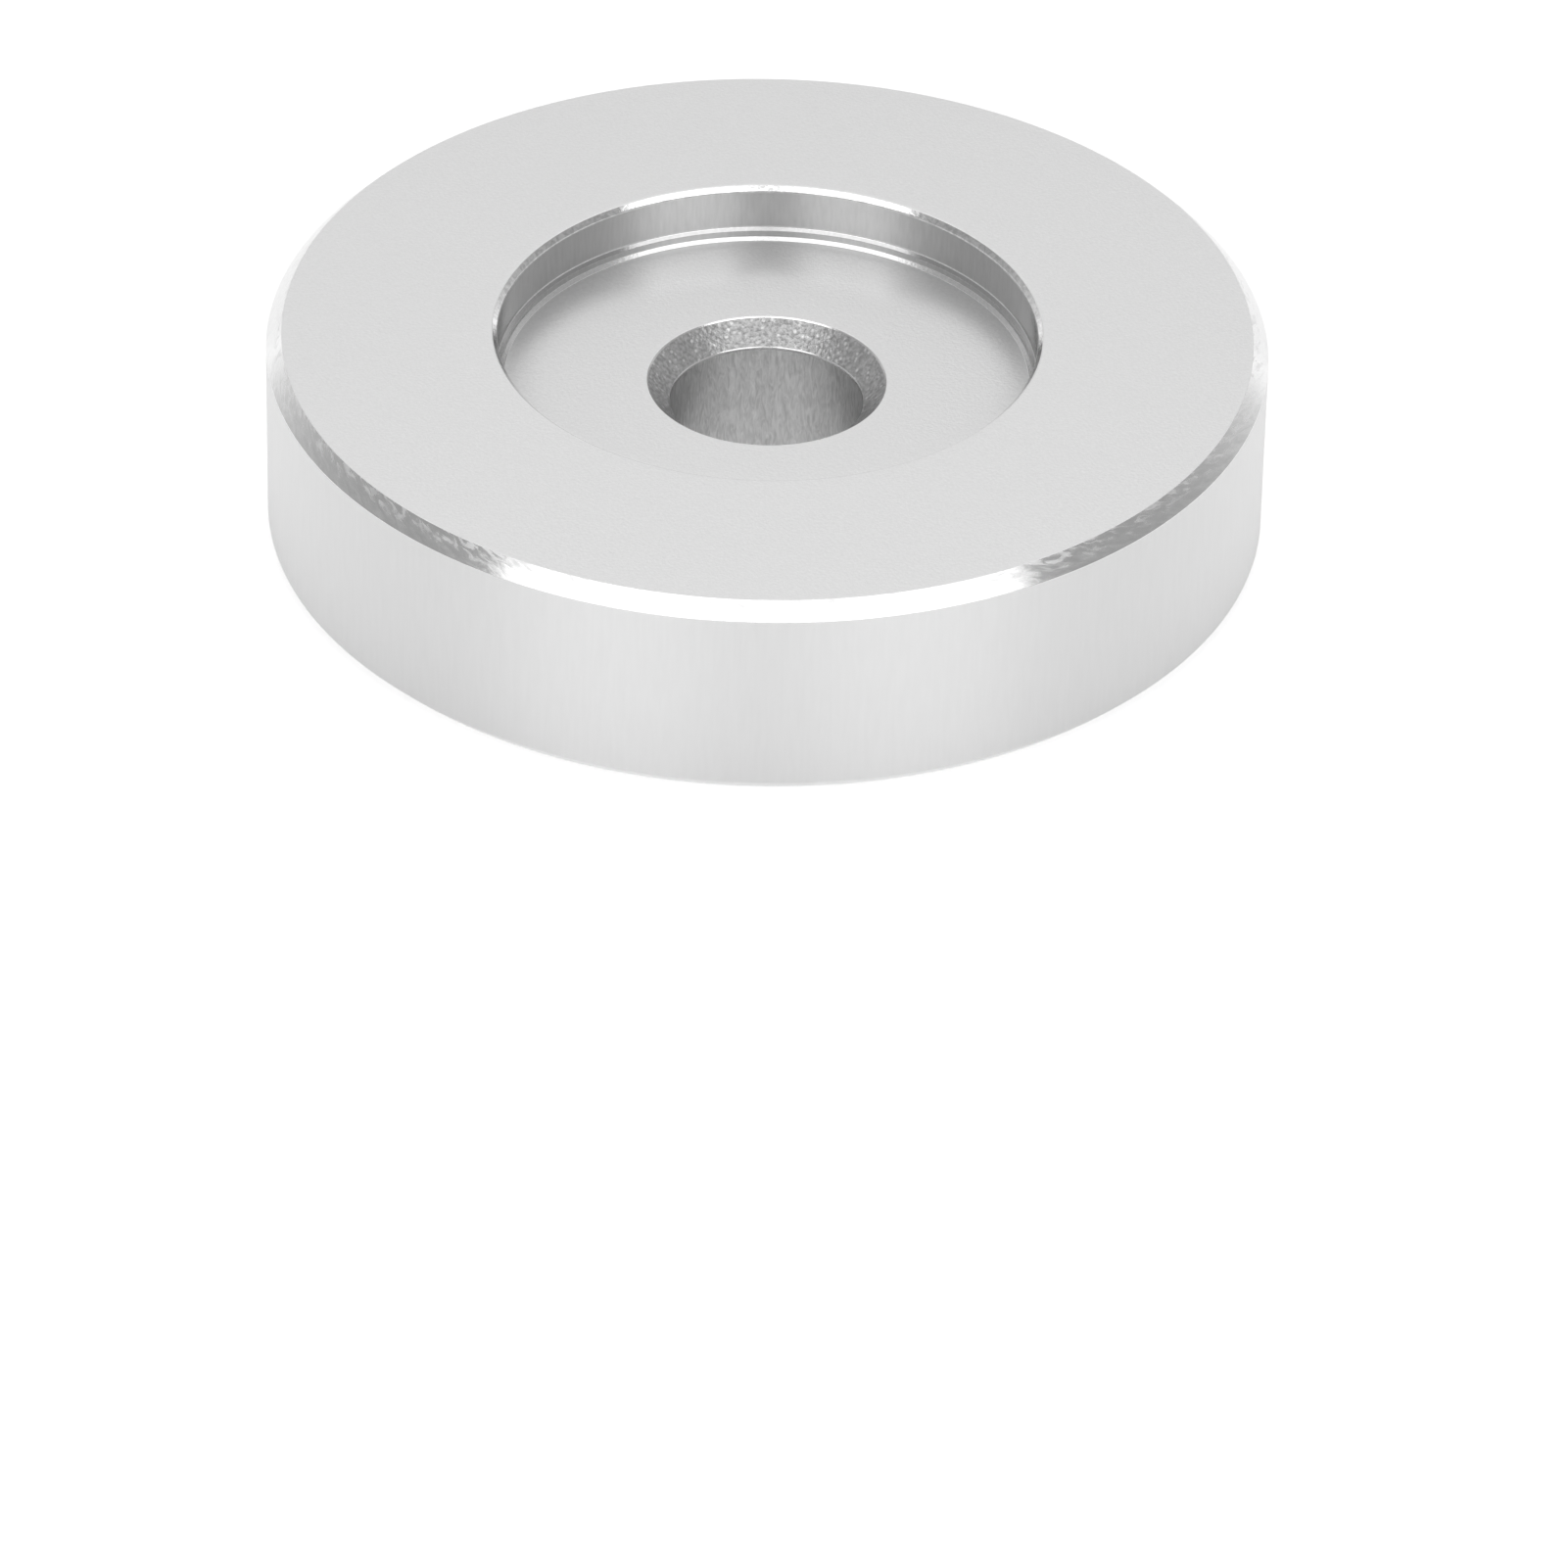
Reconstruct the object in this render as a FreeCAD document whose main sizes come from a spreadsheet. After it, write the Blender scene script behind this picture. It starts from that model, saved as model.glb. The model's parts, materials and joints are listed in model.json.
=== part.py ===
import FreeCAD, Part
import os
import Sketcher

# Record spindle adapter: a low aluminium disc, turned from one bar, that fills the large centre
# hole of a single so that it sits true on a turntable's thin spindle. The turning axis is Z, the
# disc stands on Z = 0 and its recessed side faces up. Lengths are in millimetres.

SIZES = (
    ("disc_diameter", 38.0, "outer wall, a loose fit in a 38.2 mm record hole"),
    ("disc_height", 8.2, "underside to top land"),
    ("top_edge_chamfer", 0.6, "bright 45 degree cut round the top land"),
    ("bottom_edge_chamfer", 0.5, "45 degree cut that leads the disc into the record"),
    ("recess_diameter", 20.5, "wall of the round recess in the top"),
    ("rim_chamfer", 0.2, "45 degree cut where the recess wall meets the top land"),
    ("recess_depth", 2.27, "top land to the recess floor"),
    ("upper_foot_cut", 0.13, "45 degree cut that ends the recess wall"),
    ("foot_band", 0.17, "narrow upright band between the two foot cuts"),
    ("lower_foot_cut", 0.2, "45 degree cut from that band into the recess floor"),
    ("bore_diameter", 7.3, "through bore, a loose fit on a 7.1 to 7.2 mm spindle"),
    ("countersink_diameter", 9.1, "mouth of the countersink in the recess floor"),
    ("countersink_angle", 90.0, "full cone angle of the countersink, in degrees"),
    ("bore_edge_chamfer", 0.3, "45 degree cut where the bore leaves the underside"),
)

# Radii and heights worked out from the sizes above, as the profiles use them.
DERIVED = (
    ("disc_radius", "disc_diameter / 2"),
    ("recess_radius", "recess_diameter / 2"),
    ("band_radius", "recess_radius - upper_foot_cut"),
    ("floor_level", "disc_height - recess_depth"),
    ("band_foot_level", "floor_level + lower_foot_cut"),
    ("band_head_level", "band_foot_level + foot_band"),
    ("wall_foot_level", "band_head_level + upper_foot_cut"),
    ("bore_radius", "bore_diameter / 2"),
    ("countersink_radius", "countersink_diameter / 2"),
    ("countersink_depth", "(countersink_radius - bore_radius) / tan(countersink_angle * 1deg / 2)"),
)

# The least that a cut has to take away, in cubic millimetres.
LEAST_CUT = 1e-6


def fill_sheet(doc):
    """Puts every size, and what follows from it, into one sheet under its own name."""
    sheet = doc.addObject("Spreadsheet::Sheet", "Sizes")
    for row, (name, value, note) in enumerate(SIZES, start=1):
        sheet.set(f"A{row}", name)
        sheet.set(f"B{row}", str(value))
        sheet.set(f"C{row}", note)
        sheet.setAlias(f"B{row}", name)
    for row, (name, formula) in enumerate(DERIVED, start=len(SIZES) + 1):
        sheet.set(f"A{row}", name)
        sheet.set(f"B{row}", "=" + formula)
        sheet.setAlias(f"B{row}", name)
    doc.recompute()
    return sheet


def origin_plane(body, role):
    for feature in body.Origin.OriginFeatures:
        if feature.Role == role:
            return feature
    raise LookupError(role)


def turning_profile(body, sheet, name, corners):
    """Draws a closed outline in the XZ plane, one corner per (name, radius, height).

    A radius of None lies on the turning axis and a height of None on the underside; the other
    radii and heights are formulas of the sheet's names.
    """
    sketch = body.newObject("Sketcher::SketchObject", name)
    sketch.AttachmentSupport = [(origin_plane(body, "XZ_Plane"), "")]
    sketch.MapMode = "FlatFace"
    origin_point = (-1, 1)
    horizontal_axis = -1
    vertical_axis = -2

    def bound(formula):
        words = formula.split()
        return " ".join(f"{sheet.Name}.{word}" if word.isidentifier() else word for word in words)

    def place(formula):
        return 0.0 if formula is None else float(sketch.evalExpression(bound(formula)))

    points = [FreeCAD.Vector(place(radius), place(height), 0) for _, radius, height in corners]
    for start, end in zip(points, points[1:] + points[:1]):
        sketch.addGeometry(Part.LineSegment(start, end), False)
    for line, (corner, radius, height) in enumerate(corners):
        before = (line - 1) % len(corners)
        sketch.addConstraint(Sketcher.Constraint("Coincident", before, 2, line, 1))
        for axis, kind, formula, own_axis in (
            ("radius", "DistanceX", radius, vertical_axis),
            ("height", "DistanceY", height, horizontal_axis),
        ):
            if formula is None:
                sketch.addConstraint(Sketcher.Constraint("PointOnObject", line, 1, own_axis))
                continue
            value = place(formula)
            index = sketch.addConstraint(Sketcher.Constraint(kind, *origin_point, line, 1, value))
            sketch.renameConstraint(index, f"{corner}_{axis}")
            sketch.setExpression(f"Constraints.{corner}_{axis}", bound(formula))
    doc.recompute()
    return sketch


def turn(body, kind, name, sketch):
    """Sweeps a profile once round the turning axis, to add the bar or to cut it."""
    feature = body.newObject(kind, name)
    feature.Profile = sketch
    feature.ReferenceAxis = (sketch, ["V_Axis"])
    feature.Angle = 360.0
    doc.recompute()
    return feature


doc = FreeCAD.newDocument("RecordSpindleAdapter")
sizes = fill_sheet(doc)

adapter = doc.addObject("PartDesign::Body", "AdapterBody")
adapter.Label = "adapter_body"

# The disc: outer wall with a cut edge above and below.
disc_profile = turning_profile(adapter, sizes, "DiscProfile", (
    ("underside_middle", None, None),
    ("underside_edge", "disc_radius - bottom_edge_chamfer", None),
    ("wall_foot", "disc_radius", "bottom_edge_chamfer"),
    ("wall_head", "disc_radius", "disc_height - top_edge_chamfer"),
    ("land_edge", "disc_radius - top_edge_chamfer", "disc_height"),
    ("land_middle", None, "disc_height"),
))
disc = turn(adapter, "PartDesign::Revolution", "Disc", disc_profile)

# The recess: its rim is cut back, and its wall runs into the floor by two 45 degree cuts, one
# above the other, with a narrow upright band between them.
recess_profile = turning_profile(adapter, sizes, "RecessProfile", (
    ("floor_middle", None, "floor_level"),
    ("floor_edge", "band_radius - lower_foot_cut", "floor_level"),
    ("band_foot", "band_radius", "band_foot_level"),
    ("band_head", "band_radius", "band_head_level"),
    ("recess_foot", "recess_radius", "wall_foot_level"),
    ("recess_head", "recess_radius", "disc_height - rim_chamfer"),
    ("rim_edge", "recess_radius + rim_chamfer", "disc_height"),
    ("rim_middle", None, "disc_height"),
))
recess = turn(adapter, "PartDesign::Groove", "Recess", recess_profile)

# The spindle bore: countersunk from the recess floor, with its lower edge broken.
bore_profile = turning_profile(adapter, sizes, "BoreProfile", (
    ("bore_end_middle", None, None),
    ("bore_end", "bore_radius + bore_edge_chamfer", None),
    ("bore_foot", "bore_radius", "bore_edge_chamfer"),
    ("bore_head", "bore_radius", "floor_level - countersink_depth"),
    ("countersink_mouth", "countersink_radius", "floor_level"),
    ("mouth_middle", None, "floor_level"),
))
bore = turn(adapter, "PartDesign::Groove", "SpindleBore", bore_profile)

for before, after in ((disc, recess), (recess, bore)):
    if after.Shape.Volume > before.Shape.Volume - LEAST_CUT:
        raise ValueError(f"{after.Name} cuts nothing from {before.Name}")
for item in doc.Objects:
    if "Invalid" in item.State or "Error" in item.State:
        raise ValueError(f"{item.Name} failed: {item.State}")
if adapter.Shape.isNull() or not adapter.Shape.isValid():
    raise ValueError(f"{adapter.Label} has no valid shape")

os.makedirs("parts", exist_ok=True)
adapter.Shape.exportStep(f"parts/{adapter.Label}.step")
print(f"{adapter.Label}: {len(adapter.Shape.Solids)} solid, {adapter.Shape.Volume:.3f} cubic mm")
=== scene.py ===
import json
import math

import bpy
from mathutils import Matrix, Vector


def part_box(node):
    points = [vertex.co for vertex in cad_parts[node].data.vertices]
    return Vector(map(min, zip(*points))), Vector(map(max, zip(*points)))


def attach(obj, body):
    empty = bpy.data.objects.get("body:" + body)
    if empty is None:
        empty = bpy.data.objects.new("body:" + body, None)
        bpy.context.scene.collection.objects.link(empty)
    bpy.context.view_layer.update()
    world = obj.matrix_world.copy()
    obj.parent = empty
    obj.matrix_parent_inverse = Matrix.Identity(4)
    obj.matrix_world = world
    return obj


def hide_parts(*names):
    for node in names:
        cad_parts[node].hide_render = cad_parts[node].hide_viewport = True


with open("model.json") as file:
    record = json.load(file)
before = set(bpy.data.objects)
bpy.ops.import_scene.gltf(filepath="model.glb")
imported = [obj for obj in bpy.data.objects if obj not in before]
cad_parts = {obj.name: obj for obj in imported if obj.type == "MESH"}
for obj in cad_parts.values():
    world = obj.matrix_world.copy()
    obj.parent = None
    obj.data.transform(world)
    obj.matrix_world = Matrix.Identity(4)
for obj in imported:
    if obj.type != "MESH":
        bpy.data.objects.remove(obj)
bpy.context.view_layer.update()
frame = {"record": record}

# Adapter body. The real piece is one disc of aluminium bar, turned on a lathe: outer wall, stepped
# recess and countersunk bore in one setting. It is then bead-blasted and clear anodised, and the
# outer edge and the recess rim are cut bright afterwards, so one round mesh carries eight finishes.
MM = 0.001
disc_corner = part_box("adapter_body")[1]
disc_radius = disc_corner.x
disc_height = disc_corner.z
spindle_mount = next(mount for mount in frame["record"]["mounts"] if mount["name"] == "spindle_bore")
bore_radius = spindle_mount["dims"]["r_mm"] * MM
top_chamfer = 0.6 * MM
bottom_chamfer = 0.5 * MM
recess_radius = 10.25 * MM
recess_depth = 2.27 * MM
rim_chamfer = 0.2 * MM
upper_foot_cut = 0.13 * MM
foot_band = 0.24 * MM
lower_foot_cut = 0.13 * MM
countersink_radius = 4.55 * MM
mouth_cut = 0.05 * MM
bore_edge_chamfer = 0.3 * MM
recess_floor = disc_height - recess_depth
band_radius = recess_radius - upper_foot_cut
band_foot = recess_floor + lower_foot_cut
band_head = band_foot + foot_band
countersink_end = recess_floor - (countersink_radius - bore_radius)

# How far the corners are rounded: hardly at all where they were only broken, more where the blast
# or handling softened them, and most where the countersink's tool rolled the edge of the bore.
sharp = 0.0
edge_break = 0.03 * MM
soft_corner = 0.08 * MM
worn_edge = 0.1 * MM
rolled_edge = 0.16 * MM
steps_per_corner = 5
segments_round = 640

# The turning profile, from the bore's lower edge outwards and over the top back to the bore. Each
# corner has its radius and height, how far it is rounded, the finish of that rounding and the finish
# of the stretch that follows. The mouth of the countersink is a narrow bright ring.
profile = (
    (bore_radius + bore_edge_chamfer, 0.0, edge_break, "blasted_land", "blasted_land"),
    (disc_radius - bottom_chamfer, 0.0, edge_break, "turned_wall", "turned_wall"),
    (disc_radius, bottom_chamfer, edge_break, "turned_wall", "turned_wall"),
    (disc_radius, disc_height - top_chamfer, edge_break, "bright_cut", "bright_cut"),
    (disc_radius - top_chamfer, disc_height, edge_break, "blasted_land", "blasted_land"),
    (recess_radius + rim_chamfer, disc_height, soft_corner, "blasted_land", "rim_cut"),
    (recess_radius, disc_height - rim_chamfer, worn_edge, "rim_cut", "recess_wall"),
    (recess_radius, band_head + upper_foot_cut, soft_corner, "foot_cut", "recess_wall"),
    (band_radius, band_head, edge_break, "recess_wall", "recess_wall"),
    (band_radius, band_foot, edge_break, "foot_cut", "foot_cut"),
    (band_radius - lower_foot_cut, recess_floor, edge_break, "blasted_land", "blasted_land"),
    (countersink_radius, recess_floor, edge_break, "bright_cut", "bright_cut"),
    (countersink_radius - mouth_cut, recess_floor - mouth_cut, sharp, "countersink", "countersink"),
    (bore_radius, countersink_end, rolled_edge, "bright_cut", "bore"),
    (bore_radius, bore_edge_chamfer, edge_break, "bore", "bore"),
)


def rounded_corner(before, corner, after, radius):
    """Points and normals along the small arc that replaces one corner of the profile."""
    arriving = (corner - before).normalized()
    leaving = (after - corner).normalized()
    start_normal = Vector((arriving.y, -arriving.x))
    end_normal = Vector((leaving.y, -leaving.x))
    if radius == sharp:
        return [(corner, end_normal)]
    turn = arriving.angle_signed(leaving)
    setback = radius * math.tan(abs(turn) / 2)
    inward = -1.0 if start_normal.dot(leaving) < 0 else 1.0
    centre = corner - arriving * setback + start_normal * radius * inward
    arc = []
    for step in range(steps_per_corner):
        normal = start_normal.slerp(end_normal, step / (steps_per_corner - 1))
        arc.append((centre - normal * radius * inward, normal))
    return arc


ring_points = []
ring_normals = []
ring_finishes = []
for index, (radius, height, rounding, edge_finish, finish) in enumerate(profile):
    before = Vector(profile[index - 1][:2])
    after = Vector(profile[(index + 1) % len(profile)][:2])
    for point, normal in rounded_corner(before, Vector((radius, height)), after, rounding):
        ring_points.append(point)
        ring_normals.append(normal)
        ring_finishes.append(edge_finish)
    ring_finishes[-1] = finish

vertices = []
vertex_normals = []
for segment in range(segments_round):
    angle = 2 * math.pi * segment / segments_round
    along_x, along_y = math.cos(angle), math.sin(angle)
    for point, normal in zip(ring_points, ring_normals):
        vertices.append((point.x * along_x, point.x * along_y, point.y))
        vertex_normals.append((normal.x * along_x, normal.x * along_y, normal.y))
rings = len(ring_points)
faces = []
face_finishes = []
for segment in range(segments_round):
    here = segment * rings
    there = (segment + 1) % segments_round * rings
    for ring in range(rings):
        following = (ring + 1) % rings
        faces.append((here + ring, there + ring, there + following, here + following))
        face_finishes.append(ring_finishes[ring])
body_mesh = bpy.data.meshes.new("adapter_turning")
body_mesh.from_pydata(vertices, [], faces)
body_mesh.shade_smooth()
body_mesh.normals_split_custom_set_from_vertices(vertex_normals)
body = bpy.data.objects.new("adapter_turning", body_mesh)
bpy.context.scene.collection.objects.link(body)


def metal_finish(name, colour, roughness, metal_share=1.0):
    """A bare metal: one shader, with what is the same all over set on its own sockets."""
    material = bpy.data.materials.new(name)
    material.use_nodes = True
    shader = material.node_tree.nodes["Principled BSDF"]
    shader.inputs["Metallic"].default_value = metal_share
    shader.inputs["Base Color"].default_value = (*colour, 1.0)
    shader.inputs["Roughness"].default_value = roughness
    return material, shader


def reckon(material, operation, first, second):
    """One step of arithmetic; each side is a node's output or a plain number."""
    step = material.node_tree.nodes.new("ShaderNodeMath")
    step.operation = operation
    for socket, value in zip(step.inputs, (first, second)):
        if isinstance(value, float):
            socket.default_value = value
        else:
            material.node_tree.links.new(value, socket)
    return step.outputs["Value"]


def spread(material, value, measured, wanted):
    """Maps a grey value from the range it is measured in to the range wanted, and holds the ends."""
    ramp = material.node_tree.nodes.new("ShaderNodeMapRange")
    for socket, number in zip(ramp.inputs[1:5], (*measured, *wanted)):
        socket.default_value = number
    material.node_tree.links.new(value, ramp.inputs["Value"])
    return ramp.outputs["Result"]


def in_grains(material, place, size_mm, slant=0.0):
    """Counts a place in grains of a given size along each axis, turned about the third."""
    grains = material.node_tree.nodes.new("ShaderNodeMapping")
    grains.vector_type = "TEXTURE"
    grains.inputs["Scale"].default_value = [size * MM for size in size_mm]
    grains.inputs["Rotation"].default_value = (0.0, 0.0, slant)
    material.node_tree.links.new(place, grains.inputs["Vector"])
    return grains.outputs["Vector"]


def place_on_piece(material):
    """Where a point of the surface lies on the piece itself, so the grain stays with the metal."""
    return material.node_tree.nodes.new("ShaderNodeTexCoord").outputs["Object"]


def noise(material, grains, detail=2.0, wander=0.0):
    """Soft random grey, one grain to each step of the place that it is given."""
    clouds = material.node_tree.nodes.new("ShaderNodeTexNoise")
    clouds.inputs["Scale"].default_value = 1.0
    clouds.inputs["Detail"].default_value = detail
    clouds.inputs["Distortion"].default_value = wander
    material.node_tree.links.new(grains, clouds.inputs["Vector"])
    return clouds.outputs["Fac"]


def tint(material, shader, colour, value):
    """Lets a grey value darken or lighten the metal's colour."""
    shade = material.node_tree.nodes.new("ShaderNodeVectorMath")
    shade.operation = "SCALE"
    shade.inputs[0].default_value = colour
    material.node_tree.links.new(value, shade.inputs["Scale"])
    material.node_tree.links.new(shade.outputs["Vector"], shader.inputs["Base Color"])


def relief(material, shader, value, depth_mm):
    """Turns a grey value into surface relief of a given depth."""
    bump = material.node_tree.nodes.new("ShaderNodeBump")
    bump.inputs["Strength"].default_value = 1.0
    bump.inputs["Distance"].default_value = depth_mm * MM
    material.node_tree.links.new(value, bump.inputs["Height"])
    material.node_tree.links.new(bump.outputs["Normal"], shader.inputs["Normal"])


def lathe_marks(material, shader, strength):
    """Fine rings left by the tool: they smear what the metal mirrors along the turning axis."""
    quarter_turn = 0.25
    shader.inputs["Anisotropic"].default_value = strength
    shader.inputs["Anisotropic Rotation"].default_value = quarter_turn
    round_axis = material.node_tree.nodes.new("ShaderNodeTangent")
    round_axis.direction_type = "RADIAL"
    round_axis.axis = "Z"
    material.node_tree.links.new(round_axis.outputs["Tangent"], shader.inputs["Tangent"])


def dust(material, place, apart_mm, speck_mm, share):
    """A few specks, each in its own cell, on a share of the cells."""
    cells = material.node_tree.nodes.new("ShaderNodeTexVoronoi")
    cells.inputs["Scale"].default_value = 1.0
    cell_grains = in_grains(material, place, (apart_mm,) * 3)
    material.node_tree.links.new(cell_grains, cells.inputs["Vector"])
    reach = speck_mm / apart_mm
    speck = spread(material, cells.outputs["Distance"], (0.5 * reach, reach), (1.0, 0.0))
    chosen = reckon(material, "LESS_THAN", cells.outputs["Color"], share)
    return reckon(material, "MULTIPLY", speck, chosen)


def radius_and_height(material, place):
    """How far a place is from the turning axis, and how high it is above the underside."""
    parts = material.node_tree.nodes.new("ShaderNodeSeparateXYZ")
    material.node_tree.links.new(place, parts.inputs["Vector"])
    squares = [reckon(material, "POWER", parts.outputs[axis], 2.0) for axis in "XY"]
    return reckon(material, "POWER", reckon(material, "ADD", *squares), 0.5), parts.outputs["Z"]


# Noise keeps near the middle of its range. The less of that range a finish uses, the harder it looks.
soft_contrast = (0.25, 0.75)
firm_contrast = (0.3, 0.7)
hard_contrast = (0.35, 0.65)


def blasted_land():
    """Bead-blasted faces: fine pits, a few proud grains, and painted shade close to the recess wall."""
    colour = (0.95, 0.95, 0.95)
    pit_mm = 0.11
    pit_shades = (0.975, 1.025)
    grain_mm = 0.13
    ragged = 0.4 * MM
    dim_ring = (recess_radius - 1.6 * MM, band_radius - lower_foot_cut)
    dim_shades = (1.0, 0.9)
    proud_height = 3.0
    material, shader = metal_finish("blasted_land", colour, roughness=0.37, metal_share=0.85)
    place = place_on_piece(material)
    pits = noise(material, in_grains(material, place, (pit_mm,) * 3))
    pitted = spread(material, pits, soft_contrast, pit_shades)
    from_middle, height = radius_and_height(material, place)
    grain = noise(material, in_grains(material, place, (grain_mm,) * 3))
    # Painted shade: the recess floor is coloured darker close to the wall, with a ragged edge, standing in
    # for the shade there.
    uneven = spread(material, grain, soft_contrast, (-ragged, ragged))
    ragged_radius = reckon(material, "ADD", from_middle, uneven)
    shade_ramp_by_wall = spread(material, ragged_radius, dim_ring, dim_shades)
    up_on_the_land = spread(material, height, (recess_floor, disc_height), (0.0, 1.0))
    on_the_underside = spread(material, height, (0.0, recess_floor), (1.0, 0.0))
    clear_of_the_wall = reckon(material, "MAXIMUM", up_on_the_land, on_the_underside)
    painted_wall_shade = reckon(material, "MAXIMUM", shade_ramp_by_wall, clear_of_the_wall)
    tint(material, shader, colour, reckon(material, "MULTIPLY", painted_wall_shade, pitted))
    specks = dust(material, place, apart_mm=1.6, speck_mm=0.08, share=0.22)
    proud_grains = reckon(material, "MULTIPLY", specks, proud_height)
    relief(material, shader, reckon(material, "ADD", grain, proud_grains), depth_mm=0.008)
    return material


def turned_wall():
    """Outer wall: the lathe's fine rings under the anodising, with faint upright streaks."""
    colour = (0.92, 0.92, 0.92)
    streak_mm = (0.16, 0.16, 1.6)
    streak_shades = (0.985, 1.01)
    material, shader = metal_finish("turned_wall", colour, roughness=0.5)
    lathe_marks(material, shader, strength=0.9)
    upright = in_grains(material, place_on_piece(material), streak_mm)
    streaks = noise(material, upright, detail=3.0)
    tint(material, shader, colour, spread(material, streaks, soft_contrast, streak_shades))
    relief(material, shader, streaks, depth_mm=0.001)
    return material


def bright_cut():
    """Cut edge, close to a mirror: the tool left slanting scars on it, rougher towards the land."""
    colour = (0.86, 0.86, 0.86)
    smooth, scarred = 0.15, 0.5
    scar_mm = (0.7, 0.15, 1.0)
    scar_slant = -0.2
    scar_shades = (0.94, 1.04)
    deepest_scars = (0.45, 0.7)
    upper_part = (disc_height - 0.8 * top_chamfer, disc_height - 0.2 * top_chamfer)
    scars_kept = (0.25, 1.0)
    material, shader = metal_finish("bright_cut", colour, roughness=smooth)
    nodes, links = material.node_tree.nodes, material.node_tree.links
    place = nodes.new("ShaderNodeSeparateXYZ")
    links.new(place_on_piece(material), place.inputs["Vector"])
    frontwards = reckon(material, "MULTIPLY", place.outputs["Y"], -1.0)
    angle = reckon(material, "ARCTAN2", place.outputs["X"], frontwards)
    unrolled = nodes.new("ShaderNodeCombineXYZ")
    links.new(reckon(material, "MULTIPLY", angle, disc_radius), unrolled.inputs["X"])
    links.new(place.outputs["Z"], unrolled.inputs["Y"])
    slanting = in_grains(material, unrolled.outputs["Vector"], scar_mm, scar_slant)
    scars = noise(material, slanting, detail=3.0, wander=0.8)
    near_land = spread(material, place.outputs["Z"], upper_part, scars_kept)
    deep = spread(material, scars, deepest_scars, (0.0, 1.0))
    flecks = reckon(material, "MULTIPLY", deep, near_land)
    links.new(spread(material, flecks, (0.0, 1.0), (smooth, scarred)), shader.inputs["Roughness"])
    tint(material, shader, colour, spread(material, scars, firm_contrast, scar_shades))
    relief(material, shader, scars, depth_mm=0.003)
    return material


def rim_cut():
    """Narrow cut round the recess rim: bright, with small nicks all round."""
    colour = (0.84, 0.84, 0.84)
    nick_mm = 0.25
    nick_shades = (0.82, 1.08)
    material, shader = metal_finish("rim_cut", colour, roughness=0.14)
    nick_grains = in_grains(material, place_on_piece(material), (nick_mm,) * 3)
    nicks = noise(material, nick_grains, detail=3.0, wander=0.8)
    tint(material, shader, colour, spread(material, nicks, hard_contrast, nick_shades))
    relief(material, shader, nicks, depth_mm=0.004)
    return material


def foot_cut():
    """Cuts at the foot of the recess wall: a little duller, because the blast touched them."""
    colour = (0.80, 0.80, 0.80)
    grit_mm = 0.12
    grit_shades = (0.94, 1.05)
    material, shader = metal_finish("foot_cut", colour, roughness=0.22)
    grit = noise(material, in_grains(material, place_on_piece(material), (grit_mm,) * 3))
    tint(material, shader, colour, spread(material, grit, firm_contrast, grit_shades))
    relief(material, shader, grit, depth_mm=0.004)
    return material


def recess_wall():
    """Wall of the recess: darker and smoother than the land, with upright streaks and some dust."""
    colour = (0.52, 0.52, 0.52)
    streak_mm = (0.14, 0.14, 0.9)
    streak_shades = (0.94, 1.05)
    speck_brightness = 0.5
    material, shader = metal_finish("recess_wall", colour, roughness=0.15)
    place = place_on_piece(material)
    upright = in_grains(material, place, streak_mm)
    streaks = noise(material, upright, detail=3.0)
    specks = dust(material, place, apart_mm=1.2, speck_mm=0.08, share=0.12)
    bright_specks = reckon(material, "MULTIPLY", specks, speck_brightness)
    shades = spread(material, streaks, firm_contrast, streak_shades)
    tint(material, shader, colour, reckon(material, "ADD", shades, bright_specks))
    relief(material, shader, streaks, depth_mm=0.0015)
    return material


def countersink():
    """Countersink: a coarse, torn cut, so it is gritty, with painted glints as lighter specks in its
    colour.
    """
    colour = (0.48, 0.48, 0.48)
    grit_mm = 0.15
    grit_shades = (0.75, 1.2)
    painted_glint_brightness = 0.6
    material, shader = metal_finish("countersink", colour, roughness=0.2, metal_share=0.5)
    place = place_on_piece(material)
    grit = noise(material, in_grains(material, place, (grit_mm,) * 3), detail=3.0)
    # Painted highlight: lighter specks added to the colour stand in for glints on the grit.
    specks = dust(material, place, apart_mm=0.22, speck_mm=0.09, share=0.4)
    painted_glints = reckon(material, "MULTIPLY", specks, painted_glint_brightness)
    shades = spread(material, grit, hard_contrast, grit_shades)
    tint(material, shader, colour, reckon(material, "ADD", shades, painted_glints))
    relief(material, shader, grit, depth_mm=0.04)
    return material


def bore():
    """Bore: drilled, so it is dull, with wandering streaks along its length."""
    colour = (0.68, 0.68, 0.68)
    streak_mm = (0.19, 0.19, 0.75)
    streak_shades = (0.8, 1.14)
    material, shader = metal_finish("bore", colour, roughness=0.45)
    lathe_marks(material, shader, strength=0.9)
    upright = in_grains(material, place_on_piece(material), streak_mm)
    streaks = noise(material, upright, detail=3.0, wander=1.6)
    tint(material, shader, colour, spread(material, streaks, firm_contrast, streak_shades))
    relief(material, shader, streaks, depth_mm=0.005)
    return material


finish_makers = (
    blasted_land,
    turned_wall,
    bright_cut,
    rim_cut,
    foot_cut,
    recess_wall,
    countersink,
    bore,
)
finish_names = [maker.__name__ for maker in finish_makers]
for maker in finish_makers:
    body_mesh.materials.append(maker())
face_slots = [finish_names.index(name) for name in face_finishes]
body_mesh.polygons.foreach_set("material_index", face_slots)
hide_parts("adapter_body")
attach(body, "root")
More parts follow.
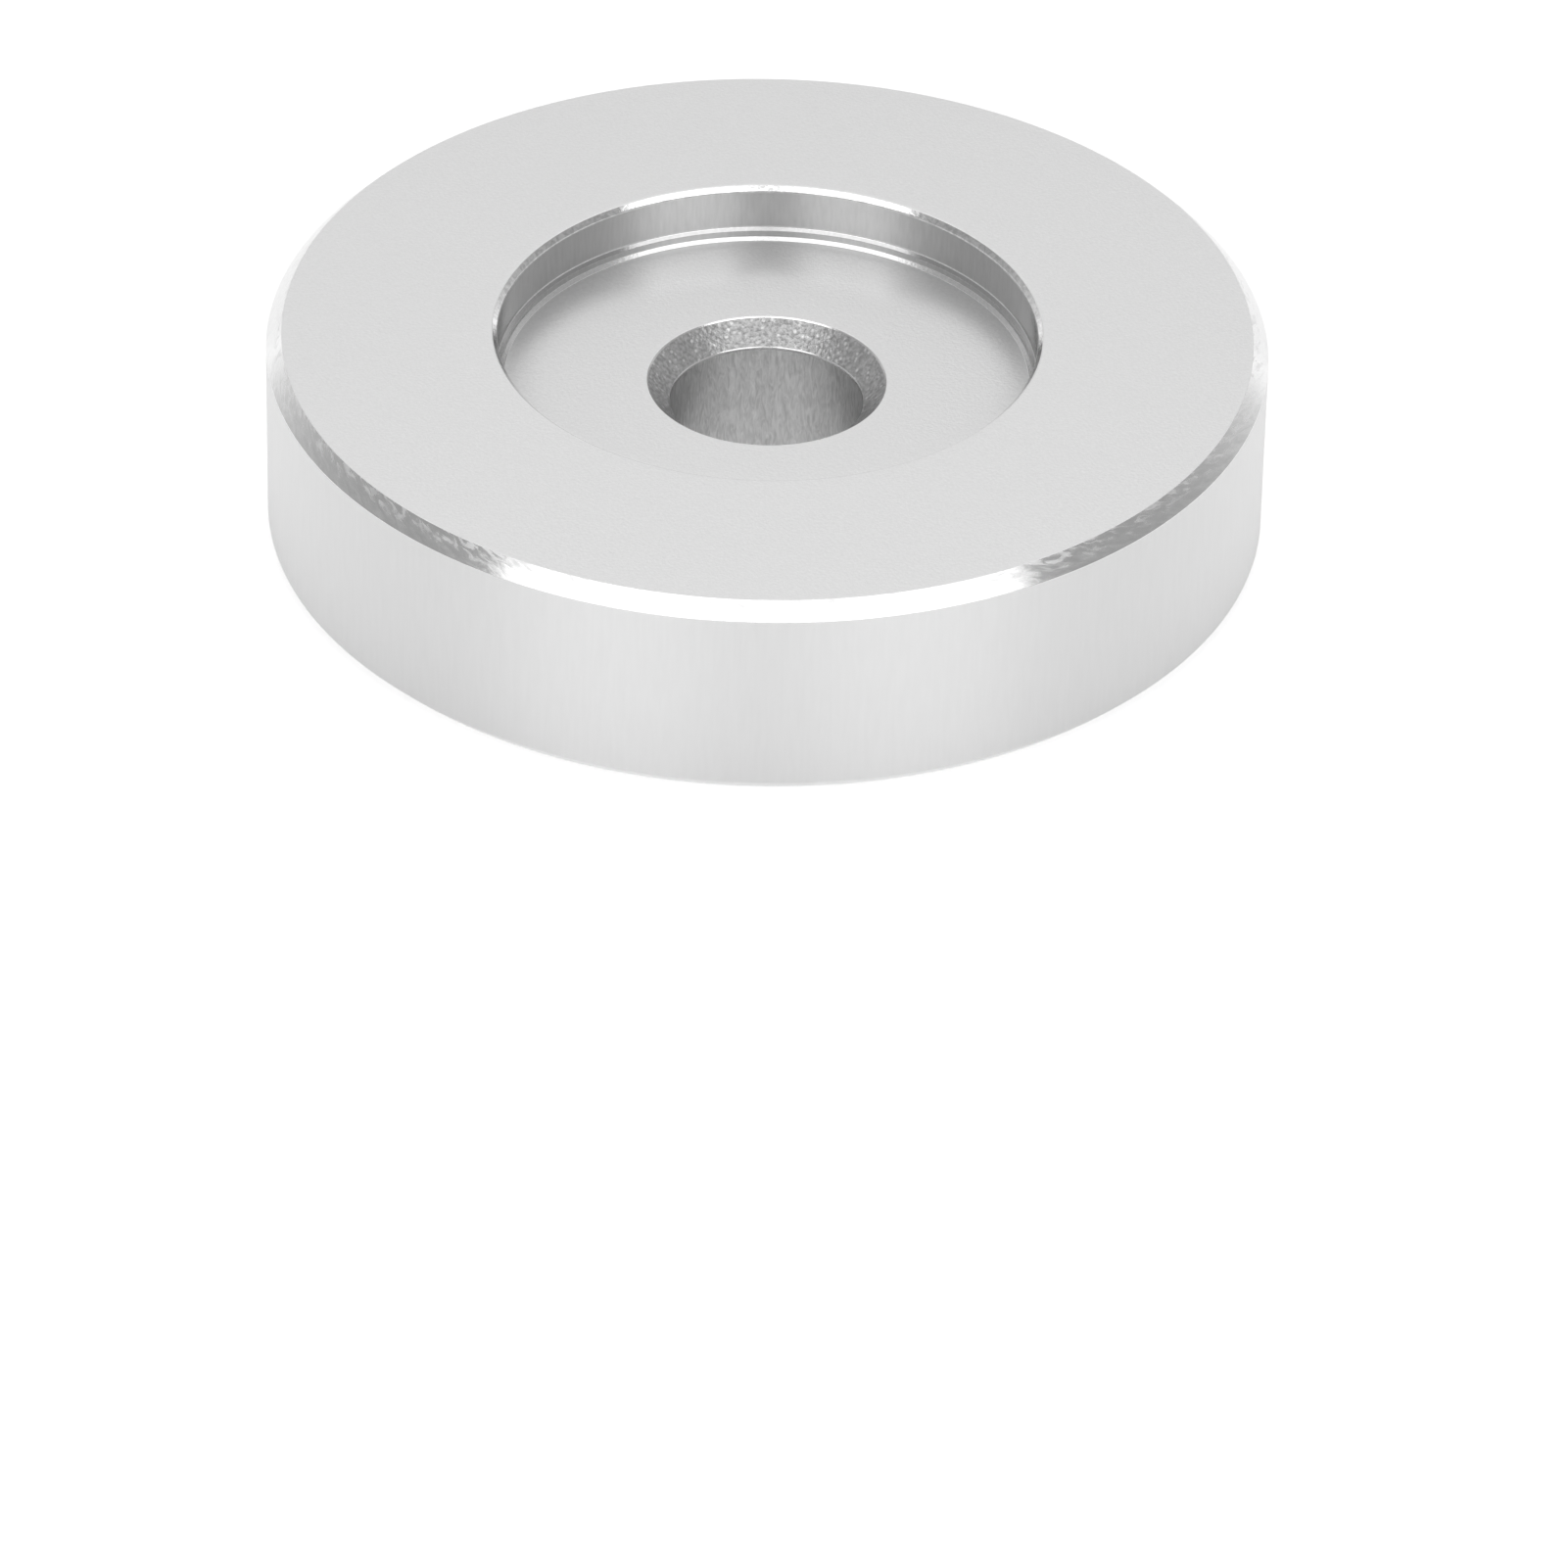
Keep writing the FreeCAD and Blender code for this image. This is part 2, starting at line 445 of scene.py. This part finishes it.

# Floor. A wide matt white table top that the disc stands on and throws its soft shadow on. It is
# lifted to plain white where the picture shows it, from just under the disc's edge outwards. In the
# metal it shows painted shade close to the wall, a paler glow further off, and painted light under
# the edge cut and in the bore.
floor_size = 3.0
floor_colour = (0.9, 0.9, 0.9, 1.0)
lift_to_white = 0.4
painted_shade_by_wall = 0.06
pale_further_off = 0.3
dim_reach = 6 * MM
painted_light_under_edge = 0.3
painted_light_in_bore = 0.6
half = floor_size / 2
floor_corners = [(-half, -half, 0.0), (half, -half, 0.0), (half, half, 0.0), (-half, half, 0.0)]
floor_mesh = bpy.data.meshes.new("floor")
floor_mesh.from_pydata(floor_corners, [], [(0, 1, 2, 3)])
floor = bpy.data.objects.new("floor", floor_mesh)
bpy.context.scene.collection.objects.link(floor)
floor_paint = bpy.data.materials.new("floor_paint")
floor_paint.use_nodes = True
paint_nodes, paint_links = floor_paint.node_tree.nodes, floor_paint.node_tree.links
paint_nodes.clear()
matt = paint_nodes.new("ShaderNodeBsdfDiffuse")
matt.inputs["Color"].default_value = floor_colour
lift = paint_nodes.new("ShaderNodeEmission")
lift.inputs["Color"].default_value = (1.0, 1.0, 1.0, 1.0)
ray = paint_nodes.new("ShaderNodeLightPath")
place_on_floor = paint_nodes.new("ShaderNodeTexCoord")
from_axis = paint_nodes.new("ShaderNodeVectorMath")
from_axis.operation = "LENGTH"
paint_links.new(place_on_floor.outputs["Object"], from_axis.inputs[0])
distance = from_axis.outputs["Value"]
just_under_disc = (disc_radius - 2 * bottom_chamfer, disc_radius - bottom_chamfer)
beside_disc = spread(floor_paint, distance, just_under_disc, (0.0, lift_to_white))
# Seen only in the metal: painted shade close to the wall, painted light under the edge cut and in the
# bore.
close_to_wall = (disc_radius, disc_radius + dim_reach)
off_disc = spread(floor_paint, distance, close_to_wall, (painted_shade_by_wall, pale_further_off))
below_edge_cut = (disc_radius - 0.5 * bottom_chamfer, disc_radius)
under_edge = spread(floor_paint, distance, below_edge_cut, (painted_light_under_edge, 0.0))
in_bore = spread(floor_paint, distance, (0.0, bore_radius), (painted_light_in_bore, 0.0))
round_disc = reckon(floor_paint, "MAXIMUM", off_disc, under_edge)
painted_light_seen_in_metal = reckon(floor_paint, "MAXIMUM", round_disc, in_bore)
in_metal = reckon(floor_paint, "MAXIMUM", ray.outputs["Is Glossy Ray"], ray.outputs["Is Transmission Ray"])
to_camera_lift = reckon(floor_paint, "MULTIPLY", ray.outputs["Is Camera Ray"], beside_disc)
to_metal_lift = reckon(floor_paint, "MULTIPLY", in_metal, painted_light_seen_in_metal)
paint_links.new(reckon(floor_paint, "ADD", to_camera_lift, to_metal_lift), lift.inputs["Strength"])
both = paint_nodes.new("ShaderNodeAddShader")
paint_links.new(matt.outputs["BSDF"], both.inputs[0])
paint_links.new(lift.outputs["Emission"], both.inputs[1])
paint_output = paint_nodes.new("ShaderNodeOutputMaterial")
paint_links.new(both.outputs["Shader"], paint_output.inputs["Surface"])
floor_mesh.materials.append(floor_paint)

# Studio light. Two soft panels hang over the camera's side of the table, turned a little apart so
# that the gap between them widens towards the camera, and a dimmer one hangs over the far side. The
# room round them is pale at the horizon, mid grey above and a little brighter overhead.
panel_height = 0.6
panel_radiance = 1.35
front_spread = math.radians(30.0)
front_width = 1.002 * panel_height
front_length = 1.20 * panel_height
right_centre = Vector((0.665, -0.901, 1.0)) * panel_height
left_centre = Vector((-right_centre.x, right_centre.y, right_centre.z))
far_centre = Vector((0.0, 0.85, 1.05)) * panel_height
far_width = 1.5 * panel_height
far_length = 1.3 * panel_height
far_radiance = 0.47 * panel_radiance


def soft_panel(name, centre, width, length, spin, radiance):
    """One rectangular lamp of even radiance that faces the table, turned about the upright."""
    lamp = bpy.data.lights.new(name, "AREA")
    lamp.shape = "RECTANGLE"
    lamp.size = width
    lamp.size_y = length
    lamp.energy = radiance * math.pi * width * length
    panel = bpy.data.objects.new(name, lamp)
    panel.matrix_world = Matrix.Translation(centre) @ Matrix.Rotation(spin, 4, "Z")
    panel.visible_camera = False
    bpy.context.scene.collection.objects.link(panel)


soft_panel("panel_left", left_centre, front_width, front_length, -front_spread, panel_radiance)
soft_panel("panel_right", right_centre, front_width, front_length, front_spread, panel_radiance)
soft_panel("panel_far", far_centre, far_width, far_length, 0.0, far_radiance)

# How bright the room is by height, from the horizon at 0 to overhead at 1.
room_levels = ((0.0, 1.3), (0.15, 0.72), (0.33, 0.48), (0.5, 0.38), (0.8, 0.38), (1.0, 0.6))
world = bpy.data.worlds.new("pale_room")
world.use_nodes = True
bpy.context.scene.world = world
room_nodes, room_links = world.node_tree.nodes, world.node_tree.links
room = room_nodes["Background"]
direction = room_nodes.new("ShaderNodeTexCoord")
split = room_nodes.new("ShaderNodeSeparateXYZ")
height_ramp = room_nodes.new("ShaderNodeValToRGB")
while len(height_ramp.color_ramp.elements) < len(room_levels):
    height_ramp.color_ramp.elements.new(1.0)
for element, (position, level) in zip(height_ramp.color_ramp.elements, room_levels):
    element.position = position
    element.color = (level, level, level, 1.0)
room_links.new(direction.outputs["Generated"], split.inputs["Vector"])
room_links.new(split.outputs["Z"], height_ramp.inputs["Fac"])
room_links.new(height_ramp.outputs["Color"], room.inputs["Color"])

# Camera. A long lens looks down at the disc from 0.4 m, a little turned about its axis, and holds the
# disc in the upper half of a square picture. It is set by where the middle of the underside falls.
picture_pixels = 1601
underside_pixel = Vector((780.40, 520.98))
focal_pixels = 10543.0
camera_distance = 0.396
camera_elevation = math.radians(33.36)
camera_roll = math.radians(1.088)
sensor_width = 36.0
nearest_shown = 0.01
to_camera = Vector((0.0, -math.cos(camera_elevation), math.sin(camera_elevation)))
offset = (underside_pixel - Vector((picture_pixels / 2, picture_pixels / 2))) / focal_pixels
pixel_ray = Vector((offset.x, -offset.y, -1.0))
aimed = (-to_camera).to_track_quat("-Z", "Y")
off_axis = pixel_ray.rotation_difference(Vector((0.0, 0.0, -1.0)))
turned = aimed.to_matrix() @ Matrix.Rotation(camera_roll, 3, "Z") @ off_axis.to_matrix()
camera_data = bpy.data.cameras.new("camera")
camera_data.sensor_width = sensor_width
camera_data.lens = focal_pixels / picture_pixels * sensor_width
camera_data.clip_start = nearest_shown
camera = bpy.data.objects.new("camera", camera_data)
camera.matrix_world = Matrix.Translation(to_camera * camera_distance) @ turned.to_4x4()
bpy.context.scene.collection.objects.link(camera)
bpy.context.scene.camera = camera
bpy.context.scene.view_settings.view_transform = "Standard"
